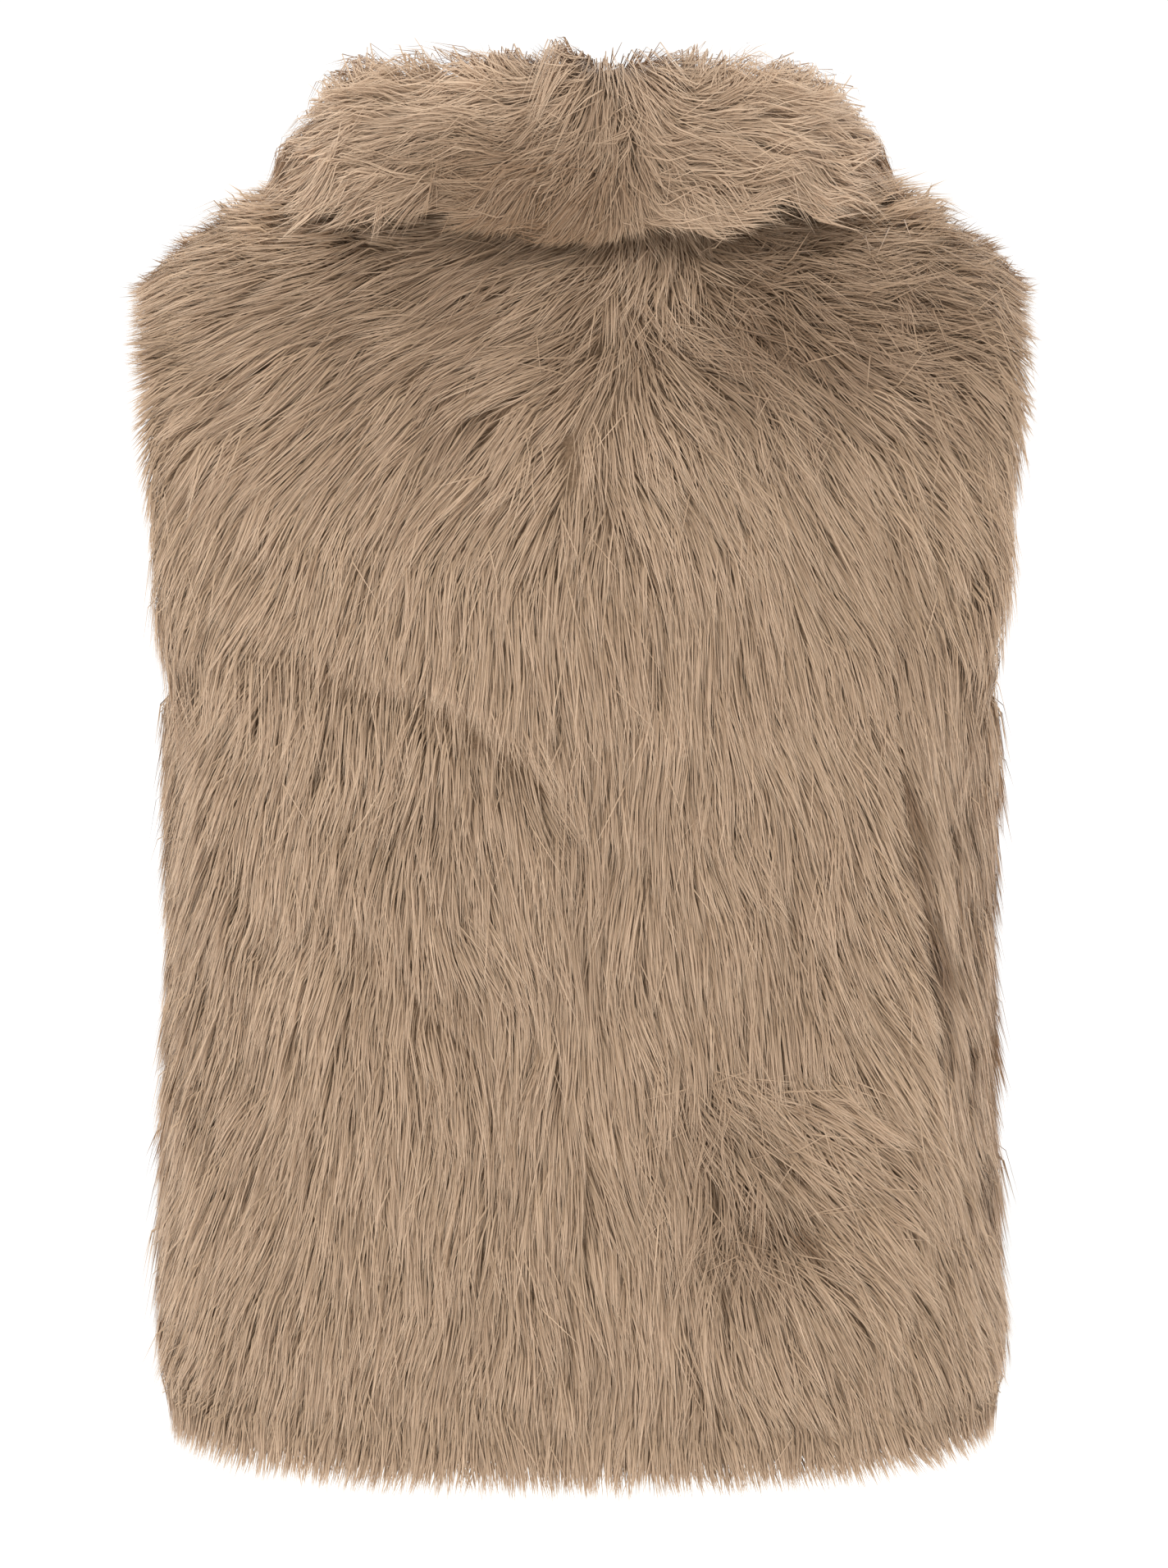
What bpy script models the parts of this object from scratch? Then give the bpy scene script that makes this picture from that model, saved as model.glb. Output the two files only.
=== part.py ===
"""A sleeveless fur vest in its worn, hollow form: a back, two fronts and a turned collar in two halves.

The frame is in metres, +Z up. The front faces -Y, the back +Y and the wearer's left is +X. The origin is
where the wearer's shoulders hold the vest: midway between the middles of the two shoulder seams, on the
inside of the cloth. Each panel is a closed wall: its inner face is the cloth's inside, and its outer face
is where the lying fur ends.
"""

import math
from collections import namedtuple

import bmesh
import bpy
import numpy as np

# Cloth
PILE = 0.017  # wall of the body: backing cloth and the fur that lies on it
NECK_WALL = 0.004  # wall at the neck seam, where the fur is clipped and pressed by the collar
NECK_PRESS = 0.060  # distance from the neck seam over which the fur rises to its full depth
LIP_REACH = 0.022  # distance from a free edge over which the fur rounds off
LIP_SHARE = 0.45  # share of the wall that is left right at a free edge
HEM_OVERHANG = 0.013  # fur past the cloth's edge
ARMHOLE_OVERHANG = 0.011
SEAM_GAP = 0.0003
FRONT_GAP = 0.004  # between the two fronts, which meet edge to edge

# Body, inside of the cloth
HEM_RISE = 0.016  # how much higher the hem is at the side seams than at the centres
HALF_PANEL = 0.26  # length of a quarter ring, from a centre to a side seam
SQUARENESS = 2.35  # exponent of the rings: 2 is an ellipse, more is boxier
SHOULDER_POINT = (0.206, -0.030)  # across, up
NECK_POINT = (0.098, 0.032)  # across, up: where shoulder seam, neck and collar meet
NECK_SHARE = 0.48  # share of a half panel's top edge that is neck, the rest is shoulder seam

Section = namedtuple("Section", "height half_width back_depth front_depth")
SECTIONS = (
    Section(height=-0.582, half_width=0.191, back_depth=0.118, front_depth=0.120),
    Section(height=-0.480, half_width=0.191, back_depth=0.119, front_depth=0.121),
    Section(height=-0.340, half_width=0.188, back_depth=0.117, front_depth=0.121),
    Section(height=-0.215, half_width=0.191, back_depth=0.118, front_depth=0.127),
)

# The upper half of a panel: each column leaves the underarm ring and arrives at the neck or the shoulder.
# neck_depth is the neck hole's reach from the shoulder line, neck_drop how far it dips at the centre, and
# the others are the lengths of the curves' end directions.
Upper = namedtuple("Upper", "face neck_depth neck_drop rise neck_lean neck_rise over_shoulder armhole")
UPPER = {
    row.face: row
    for row in (
        Upper("back", 0.070, 0.016, 0.24, 0.10, 0.20, 0.16, 0.235),
        Upper("front", 0.085, 0.070, 0.24, 0.13, 0.16, 0.15, 0.250),
    )
}
ARMHOLE_FROM = 0.40  # share of a half panel's width at which columns begin to lean into the armhole
ARMHOLE_RISE = 0.072  # upward part of the armhole edge's end directions
SHOULDER_RISE = 0.04  # the same at the shoulder seam
SEAM_TO_ARMHOLE = 0.12  # share of the upper half over which the side seam turns into a free edge
TOP_EASE = 0.30  # share of a half panel over which the corner at the neck point is eased lower down

# Soft folds of the body, along a line on one face: across and up at each end, then width and depth.
# A negative depth is a swell.
Fold = namedtuple("Fold", "face from_across from_up to_across to_up width depth")
FOLDS = (
    Fold("back", -0.160, -0.150, -0.184, -0.500, 0.016, 0.009),
    Fold("back", -0.135, -0.200, -0.160, -0.520, 0.030, -0.005),
    Fold("back", 0.090, -0.225, 0.000, -0.460, 0.024, 0.008),
    Fold("back", 0.150, -0.240, 0.140, -0.540, 0.022, 0.006),
    Fold("back", 0.100, -0.045, -0.090, -0.065, 0.026, 0.005),
    Fold("back", -0.060, -0.420, -0.115, -0.520, 0.020, 0.006),
    Fold("front", 0.085, -0.200, 0.070, -0.520, 0.026, 0.008),
    Fold("front", -0.080, -0.190, -0.095, -0.500, 0.026, 0.008),
    Fold("front", 0.160, -0.260, 0.150, -0.540, 0.020, 0.006),
    Fold("front", -0.160, -0.240, -0.165, -0.530, 0.020, 0.006),
)

# Collar: a band that stands up from the neck seam, rolls over and falls outside, one row for each angle
# round the neck from the centre back. stand is the height of the roll above the seam, fall the drop from
# there to the free edge and flare the free edge's distance out from the seam.
CollarSection = namedtuple("CollarSection", "angle stand fall flare")
COLLAR_SECTIONS = (
    CollarSection(angle=0, stand=0.036, fall=0.060, flare=0.030),
    CollarSection(angle=45, stand=0.031, fall=0.046, flare=0.038),
    CollarSection(angle=90, stand=0.023, fall=0.030, flare=0.043),
    CollarSection(angle=135, stand=0.028, fall=0.042, flare=0.038),
    CollarSection(angle=180, stand=0.036, fall=0.060, flare=0.031),
)
COLLAR_PILE = 0.016
ROLL_RADIUS = 0.0045  # of the cloth inside the roll
STAND_LEAN = 0.006  # how far the stand leans out from the seam to the roll
COLLAR_OVERHANG = 0.009

# Mesh steps
EDGE_STEPS = (0.0, 0.005, 0.012, 0.022)  # distances from a free edge
HEM_TO_UNDERARM_ROWS = 10
UNDERARM_TO_TOP_ROWS = 11
NECK_COLUMNS = 7
SHOULDER_COLUMNS = 5
STAND_STEPS, ROLL_STEPS, FALL_STEPS = 3, 5, 4

FUR_COLOUR = (0.386, 0.266, 0.178, 1.0)
COLLAR_COLOUR = (0.366, 0.249, 0.160, 1.0)


def smooth_step(share):
    share = min(max(share, 0.0), 1.0)
    return share * share * (3 - 2 * share)


def through_rows(rows, key, column, at):
    """A smooth curve through one column of a table, read at a value of its key column."""
    keys = np.array([getattr(row, key) for row in rows])
    values = np.array([getattr(row, column) for row in rows])
    slopes = np.gradient(values, keys)
    i = int(np.clip(np.searchsorted(keys, at) - 1, 0, len(keys) - 2))
    span = keys[i + 1] - keys[i]
    return hermite((at - keys[i]) / span, values[i], values[i + 1], slopes[i] * span, slopes[i + 1] * span)


def hermite(t, start, end, leave, arrive):
    """The curve from start to end with these end directions, at t from 0 to 1."""
    return (
        (2 * t**3 - 3 * t**2 + 1) * start
        + (3 * t**2 - 2 * t**3) * end
        + (t**3 - 2 * t**2 + t) * leave
        + (t**3 - t**2) * arrive
    )


def unit(vectors):
    return vectors / np.maximum(np.linalg.norm(vectors, axis=-1, keepdims=True), 1e-12)


def ring_point(half_width, depth, share):
    """A point of a quarter ring, by the share of its length from the centre (0) to the side (1)."""
    turn = np.linspace(0, math.pi / 2, 241)
    across = half_width * np.sin(turn) ** (2 / SQUARENESS)
    out = depth * np.cos(turn) ** (2 / SQUARENESS)
    length = np.concatenate([[0], np.cumsum(np.hypot(np.diff(across), np.diff(out)))])
    at = share * length[-1]
    return np.interp(at, length, across), np.interp(at, length, out)


def way_out(face):
    return 1.0 if face == "back" else -1.0


def neck_point(angle):
    """The neck seam at an angle from the centre back, and its level direction outwards."""
    face = "back" if angle <= math.pi / 2 else "front"
    upper = UPPER[face]
    dip = upper.neck_drop * abs(math.cos(angle)) ** 1.6
    place = (
        NECK_POINT[0] * math.sin(angle),
        upper.neck_depth * math.cos(angle),
        NECK_POINT[1] - dip,
    )
    outward = (math.sin(angle) / NECK_POINT[0], math.cos(angle) / upper.neck_depth, 0.0)
    return np.array(place), unit(np.array(outward))


def top_point(face, share):
    """The top edge of a half panel: the neck curve, then the shoulder seam."""
    if share <= NECK_SHARE:
        angle = share / NECK_SHARE * math.pi / 2
        return neck_point(angle if face == "back" else math.pi - angle)[0]
    along = (share - NECK_SHARE) / (1 - NECK_SHARE)
    across = NECK_POINT[0] + along * (SHOULDER_POINT[0] - NECK_POINT[0])
    up = NECK_POINT[1] + along * (SHOULDER_POINT[1] - NECK_POINT[1])
    return np.array((across, 0.0, up))


def eased_top_point(face, share):
    """The top edge without its corner at the neck point, for the cloth below it to follow."""
    places = []
    for step in np.linspace(-TOP_EASE, TOP_EASE, 13):
        place = top_point(face, abs(share + step))
        places.append(place * (math.copysign(1, share + step), 1, 1))
    return np.mean(places, axis=0)


def ring_at(face, height, share):
    half_width = through_rows(SECTIONS, "height", "half_width", height)
    depth = through_rows(SECTIONS, "height", f"{face}_depth", height)
    across, out = ring_point(half_width, depth, share)
    return np.array((across, way_out(face) * out, height))


def column_point(face, share, level):
    """Inside of the cloth. level runs from 0 at the hem to 1 at the underarm and 2 at the top edge."""
    hem, underarm = SECTIONS[0].height, SECTIONS[-1].height
    if level <= 1:
        height = hem + level * (underarm - hem) + (1 - level) ** 2 * HEM_RISE * share**3
        return ring_at(face, height, share)
    upper, out = UPPER[face], way_out(face)
    lean = smooth_step((share - ARMHOLE_FROM) / (1 - ARMHOLE_FROM))
    leave = (1 - lean) * np.array((0, 0, upper.rise)) + lean * np.array((0, out * upper.armhole, ARMHOLE_RISE))
    at_neck = np.array((0, -out * upper.neck_lean, upper.neck_rise))
    at_shoulder = np.array((0, -out * upper.over_shoulder, SHOULDER_RISE))
    at_armhole = np.array((0, -out * upper.armhole, ARMHOLE_RISE))
    over = smooth_step(share / NECK_SHARE - 0.35)
    arrive = (1 - over) * at_neck + over * ((1 - lean) * at_shoulder + lean * at_armhole)
    top, eased = top_point(face, share), eased_top_point(face, share)
    place = hermite(level - 1, ring_at(face, underarm, share), eased, leave, arrive)
    return place + (top - eased) * (level - 1) ** 3


def fold_depth(face, place):
    """How far the soft folds push the cloth in at a place."""
    depth = 0.0
    for fold in FOLDS:
        if fold.face != face:
            continue
        start = np.array((fold.from_across, fold.from_up))
        run = np.array((fold.to_across, fold.to_up)) - start
        here = place[[0, 2]] - start
        along = float(np.clip(here @ run / (run @ run), 0, 1))
        away = np.linalg.norm(here - along * run)
        fade = math.sin(math.pi * (0.12 + 0.76 * along))
        depth += fold.depth * fade * math.exp(-((away / fold.width) ** 2))
    return depth


def lip(distance):
    """Share of the wall, and share of the overhang, at a distance from a free edge."""
    to_go = 1 - min(distance / LIP_REACH, 1.0)
    return LIP_SHARE + (1 - LIP_SHARE) * math.sqrt(1 - to_go**2), to_go**1.5


def half_columns(front_edge):
    """Shares of a half panel's width, from the centre to the side, finer at free edges."""
    edge = [step / HALF_PANEL for step in EDGE_STEPS]
    neck_from = edge[-1] if front_edge else 0.0
    neck = np.linspace(neck_from, NECK_SHARE, NECK_COLUMNS + 1)
    shoulder = np.linspace(NECK_SHARE, 1 - edge[-1], SHOULDER_COLUMNS + 1)[1:]
    start = edge[:-1] if front_edge else []
    return np.array([*start, *neck, *shoulder, *(1 - step for step in edge[-2::-1])])


def panel_levels():
    """Rows of a panel: finer at the hem, even to the underarm, even to the top."""
    length = SECTIONS[-1].height - SECTIONS[0].height
    hem = [step / length for step in EDGE_STEPS]
    lower = np.linspace(hem[-1], 1.0, HEM_TO_UNDERARM_ROWS + 1)
    upper = np.linspace(1.0, 2.0, UNDERARM_TO_TOP_ROWS + 1)[1:]
    return np.array([*hem[:-1], *lower, *upper])


def panel_normals(points, face, shares, levels):
    """Directions out of the cloth. At seams they lie in the seam's plane, so that two pieces meet flush."""
    normals = unit(np.cross(np.gradient(points, axis=1), np.gradient(points, axis=0)))
    normals *= np.sign((normals * points * (1, 1, 0)).sum(axis=2, keepdims=True))
    for column, share in enumerate(shares):
        if share == 0:
            normals[:, column, 0] = 0.0
        if abs(share) == 1:
            normals[levels <= 1, column, 1] = 0.0
        if abs(share) <= NECK_SHARE:
            angle = abs(share) / NECK_SHARE * math.pi / 2
            outward = neck_point(angle if face == "back" else math.pi - angle)[1]
            normals[-1, column] = outward * (math.copysign(1, share), 1, 1)
        else:
            normals[-1, column, 1] = 0.0
    return unit(normals)


def neck_press(place, face):
    """How far the fur has risen to its full depth, by the distance from the neck seam."""
    across, depth = NECK_POINT[0], UPPER[face].neck_depth
    beyond = math.hypot(place[0] / across, place[1] / depth) - 1
    level = max(beyond, 0.0) * (across + depth) / 2
    return smooth_step(math.hypot(level, max(NECK_POINT[1] - place[2], 0.0) / 2) / NECK_PRESS)


def panel_walls(face, shares, levels):
    """Inner and outer points of a panel, rows from the hem up, columns across."""
    base = np.array([[column_point(face, abs(s), level) for s in shares] for level in levels])
    base[:, :, 0] *= np.where(shares < 0, -1.0, 1.0)
    normals = panel_normals(base, face, shares, levels)
    inner, outer = base.copy(), base.copy()
    underarm = SECTIONS[-1].height
    across = np.gradient(base, axis=1)
    across[-1, :, 1] = 0.0
    across = unit(across)
    for row, level in enumerate(levels):
        hem_share, hem_over = lip(level * (underarm - SECTIONS[0].height) if level < 1 else 1.0)
        for column, share in enumerate(shares):
            place, normal = base[row, column], normals[row, column]
            free = smooth_step((level - 1) / SEAM_TO_ARMHOLE)
            arm_share, arm_over = lip((1 - abs(share)) * HALF_PANEL)
            arm_share = 1 - free * (1 - arm_share)
            front_share = lip(abs(share) * HALF_PANEL)[0] if face == "front" else 1.0
            press = neck_press(place, face)
            wall = NECK_WALL + (PILE - NECK_WALL) * press
            wall *= min(hem_share, arm_share, front_share)
            inner[row, column] = place - normal * fold_depth(face, place) * press
            outer[row, column] = inner[row, column] + normal * max(wall, NECK_WALL * 0.9)
            outer[row, column] += np.array((0, 0, -1)) * HEM_OVERHANG * hem_over
            off_edge = across[row, column] * math.copysign(1, share)
            outer[row, column] += off_edge * ARMHOLE_OVERHANG * arm_over * free
    leave_seams(inner, outer, face, shares)
    return inner, outer


def leave_seams(inner, outer, face, shares):
    """Takes the seam edges back by half the seam gap, and the front edge by half the front gap."""
    back = way_out(face) * SEAM_GAP / 2
    for points in (inner, outer):
        points[:, np.abs(shares) == 1, 1] += back
        points[-1, (np.abs(shares) >= NECK_SHARE) & (np.abs(shares) < 1), 1] += back
        if face == "front":
            points[:, shares == 0, 0] = math.copysign(FRONT_GAP / 2, shares.sum())


def closed_wall(name, inner, outer, colour, collection):
    """A closed solid between two grids of points of the same size."""
    rows, columns = inner.shape[:2]
    bm = bmesh.new()
    sheets = []
    for points in (inner, outer):
        made = bmesh.ops.create_grid(bm, x_segments=columns - 1, y_segments=rows - 1, size=1.0)["verts"]
        sheet = {}
        for vert in made:
            column = round((vert.co.x + 1) / 2 * (columns - 1))
            row = round((vert.co.y + 1) / 2 * (rows - 1))
            sheet[row, column] = vert
        sheets.append(sheet)
        for (row, column), vert in sheet.items():
            vert.co = points[row, column]
    paired = {sheets[0][key]: sheets[1][key] for key in sheets[0]}
    for edge in [e for e in bm.edges if e.is_boundary and e.verts[0] in paired]:
        first, second = edge.verts
        bm.faces.new((first, second, paired[second], paired[first]))
    bmesh.ops.recalc_face_normals(bm, faces=bm.faces)
    if bm.calc_volume(signed=True) < 0:
        bmesh.ops.reverse_faces(bm, faces=bm.faces)
    mesh = bpy.data.meshes.new(name)
    bm.to_mesh(mesh)
    bm.free()
    mesh.materials.append(fur_material(name, colour))
    mesh.shade_smooth()
    mesh.set_sharp_from_angle(angle=math.radians(50))
    piece = bpy.data.objects.new(name, mesh)
    collection.objects.link(piece)
    return piece


def fur_material(name, colour):
    material = bpy.data.materials.new(f"{name}_fur")
    material.use_nodes = True
    shader = material.node_tree.nodes["Principled BSDF"]
    shader.inputs["Base Color"].default_value = colour
    shader.inputs["Roughness"].default_value = 0.85
    shader.inputs["Metallic"].default_value = 0.0
    return material


def mirrored(points):
    return points * (-1, 1, 1)


def make_back(collection):
    half = half_columns(front_edge=False)
    shares = np.concatenate([-half[:0:-1], half])
    inner, outer = panel_walls("back", shares, panel_levels())
    return [closed_wall("back", inner, outer, FUR_COLOUR, collection)]


def make_fronts(collection):
    """Each front is worked out on its own side, because their folds differ."""
    half = half_columns(front_edge=True)
    pieces = []
    for name, shares in (("front_left", half), ("front_right", -half[::-1])):
        inner, outer = panel_walls("front", shares, panel_levels())
        pieces.append(closed_wall(name, inner, outer, FUR_COLOUR, collection))
    return pieces


def collar_path(angle):
    """The collar's cloth in section, as (out from the seam, up) points with the fur's direction at each."""
    row = {
        column: through_rows(COLLAR_SECTIONS, "angle", column, math.degrees(angle))
        for column in ("stand", "fall", "flare")
    }
    start = np.array((NECK_WALL, SEAM_GAP))
    roll = np.array((NECK_WALL + STAND_LEAN + ROLL_RADIUS, row["stand"]))
    points = [start + (roll - (ROLL_RADIUS, 0) - start) * t for t in np.linspace(0, 1, STAND_STEPS + 1)[:-1]]
    for turn in np.linspace(math.pi, 0, ROLL_STEPS + 1):
        points.append(roll + ROLL_RADIUS * np.array((math.cos(turn), math.sin(turn))))
    top = points[-1]
    edge = np.array((row["flare"], row["stand"] - row["fall"]))
    for t in np.linspace(0, 1, FALL_STEPS + 1)[1:]:
        points.append(hermite(t, top, edge, np.array((0.25, -0.8)) * row["fall"], (edge - top) * 1.1))
    points = np.array(points)
    along = unit(np.gradient(points, axis=0))
    furward = np.stack([-along[:, 1], along[:, 0]], axis=1)
    furward[0] = (-1, 0)
    return points, furward, along


def collar_wall_shares(count):
    """Share of the collar's wall along its section: thin at the neck seam, rounded at the free edge."""
    shares = np.ones(count)
    shares[:STAND_STEPS] = np.linspace(NECK_WALL / COLLAR_PILE, 1, STAND_STEPS, endpoint=False)
    shares[-1], shares[-2] = LIP_SHARE, 0.92
    return shares


def collar_angles():
    """Angles round the neck, the same as the columns of the panels that the collar is sewn to."""
    to_angle = math.pi / 2 / NECK_SHARE
    back = [share * to_angle for share in half_columns(front_edge=False) if share <= NECK_SHARE]
    front = [math.pi - share * to_angle for share in half_columns(front_edge=True) if share < NECK_SHARE]
    return np.array([*back, *reversed(front)])


def make_collar(collection):
    """Half a collar from the centre back seam to the centre front, then its mirror image."""
    angles = collar_angles()
    inner, outer = [], []
    for angle in angles:
        seam, outward = neck_point(angle)
        points, furward, along = collar_path(angle)
        walls = collar_wall_shares(len(points)) * COLLAR_PILE
        tips = points + furward * walls[:, None]
        tips[-1] += along[-1] * COLLAR_OVERHANG
        for section, sheet in ((points, inner), (tips, outer)):
            sheet.append([seam + outward * out + np.array((0, 0, up)) for out, up in section])
    inner, outer = np.array(inner), np.array(outer)
    for points in (inner, outer):
        points[0, :, 0] = SEAM_GAP / 2
        points[-1, :, 0] = FRONT_GAP / 2
    return [
        closed_wall("collar_left", inner, outer, COLLAR_COLOUR, collection),
        closed_wall("collar_right", mirrored(inner), mirrored(outer), COLLAR_COLOUR, collection),
    ]


def main():
    for old in list(bpy.data.objects):
        bpy.data.objects.remove(old, do_unlink=True)
    collection = bpy.data.collections.new("fur_vest")
    bpy.context.scene.collection.children.link(collection)
    held = bpy.data.objects.new("held_at_shoulders", None)
    collection.objects.link(held)
    for piece in [*make_back(collection), *make_fronts(collection), *make_collar(collection)]:
        piece.parent = held


main()
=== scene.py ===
"""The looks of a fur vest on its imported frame: thin cloth shells, combed fur, studio floor, light and camera."""

import math
from collections import namedtuple

import bpy
import numpy as np
from mathutils.kdtree import KDTree
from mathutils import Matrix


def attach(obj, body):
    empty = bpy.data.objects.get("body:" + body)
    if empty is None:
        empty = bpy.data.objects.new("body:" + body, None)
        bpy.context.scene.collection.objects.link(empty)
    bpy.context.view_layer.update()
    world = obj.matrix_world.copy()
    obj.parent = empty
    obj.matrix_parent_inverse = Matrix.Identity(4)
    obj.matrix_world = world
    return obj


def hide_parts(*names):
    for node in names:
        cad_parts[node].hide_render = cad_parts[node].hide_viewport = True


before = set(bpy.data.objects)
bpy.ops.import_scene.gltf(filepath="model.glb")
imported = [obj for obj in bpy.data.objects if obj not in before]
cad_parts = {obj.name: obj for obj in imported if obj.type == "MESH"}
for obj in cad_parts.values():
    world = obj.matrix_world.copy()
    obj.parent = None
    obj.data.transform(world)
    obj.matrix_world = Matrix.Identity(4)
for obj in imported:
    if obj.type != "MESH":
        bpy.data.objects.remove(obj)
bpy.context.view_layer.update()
RNG = np.random.default_rng(20261)

# The cut, in metres, the same values as the solids have: inside of the cloth, origin at the shoulders,
# front to -Y, back to +Y.
PILE = 0.017
NECK_WALL = 0.004
NECK_PRESS = 0.060
LIP_REACH = 0.022
LIP_SHARE = 0.45
SEAM_GAP = 0.0003
FRONT_GAP = 0.004
HEM_RISE = 0.016
HALF_PANEL = 0.26
SQUARENESS = 2.35
SHOULDER_POINT = (0.206, -0.030)
NECK_POINT = (0.098, 0.032)
NECK_SHARE = 0.48
ARMHOLE_FROM = 0.40
ARMHOLE_RISE = 0.072
SHOULDER_RISE = 0.04
SEAM_TO_ARMHOLE = 0.12
TOP_EASE = 0.30
COLLAR_PILE = 0.016
ROLL_RADIUS = 0.0045
STAND_LEAN = 0.006
CLOTH = 0.002  # backing and lining together
UNDERFUR = 0.36  # share of the pile that is short dense wool, on the backing

# Cells of the grids: across half a body panel and up it, round half a collar, and the steps of the collar's stand,
# roll and fall. The body's cloth shells take every second point of the grid that the fur grows on.
HALF_PANEL_CELLS = 48
PANEL_ROWS = 100
COLLAR_CELLS = 60
COLLAR_STEPS = (8, 10, 16)
BODY_SHELL_EVERY = 2
COLLAR_SHELL_EVERY = 1

Section = namedtuple("Section", "height half_width back_depth front_depth")
SECTIONS = (
    Section(height=-0.582, half_width=0.191, back_depth=0.118, front_depth=0.120),
    Section(height=-0.480, half_width=0.191, back_depth=0.119, front_depth=0.121),
    Section(height=-0.340, half_width=0.188, back_depth=0.117, front_depth=0.121),
    Section(height=-0.215, half_width=0.191, back_depth=0.118, front_depth=0.127),
)
Upper = namedtuple("Upper", "neck_depth neck_drop rise neck_lean neck_rise over_shoulder armhole")
UPPER = {
    "back": Upper(0.070, 0.016, 0.24, 0.10, 0.20, 0.16, 0.235),
    "front": Upper(0.085, 0.070, 0.24, 0.13, 0.16, 0.15, 0.250),
}
Fold = namedtuple("Fold", "face from_across from_up to_across to_up width depth")
FOLDS = (
    Fold("back", -0.160, -0.150, -0.184, -0.500, 0.016, 0.009),
    Fold("back", -0.135, -0.200, -0.160, -0.520, 0.030, -0.005),
    Fold("back", 0.090, -0.225, 0.000, -0.460, 0.024, 0.008),
    Fold("back", 0.150, -0.240, 0.140, -0.540, 0.022, 0.006),
    Fold("back", 0.100, -0.045, -0.090, -0.065, 0.026, 0.005),
    Fold("back", -0.060, -0.420, -0.115, -0.520, 0.020, 0.006),
    Fold("front", 0.085, -0.200, 0.070, -0.520, 0.026, 0.008),
    Fold("front", -0.080, -0.190, -0.095, -0.500, 0.026, 0.008),
    Fold("front", 0.160, -0.260, 0.150, -0.540, 0.020, 0.006),
    Fold("front", -0.160, -0.240, -0.165, -0.530, 0.020, 0.006),
)
CollarSection = namedtuple("CollarSection", "angle stand fall flare")
COLLAR_SECTIONS = (
    CollarSection(angle=0, stand=0.036, fall=0.060, flare=0.030),
    CollarSection(angle=45, stand=0.031, fall=0.046, flare=0.038),
    CollarSection(angle=90, stand=0.023, fall=0.030, flare=0.043),
    CollarSection(angle=135, stand=0.028, fall=0.042, flare=0.038),
    CollarSection(angle=180, stand=0.036, fall=0.060, flare=0.031),
)

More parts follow.
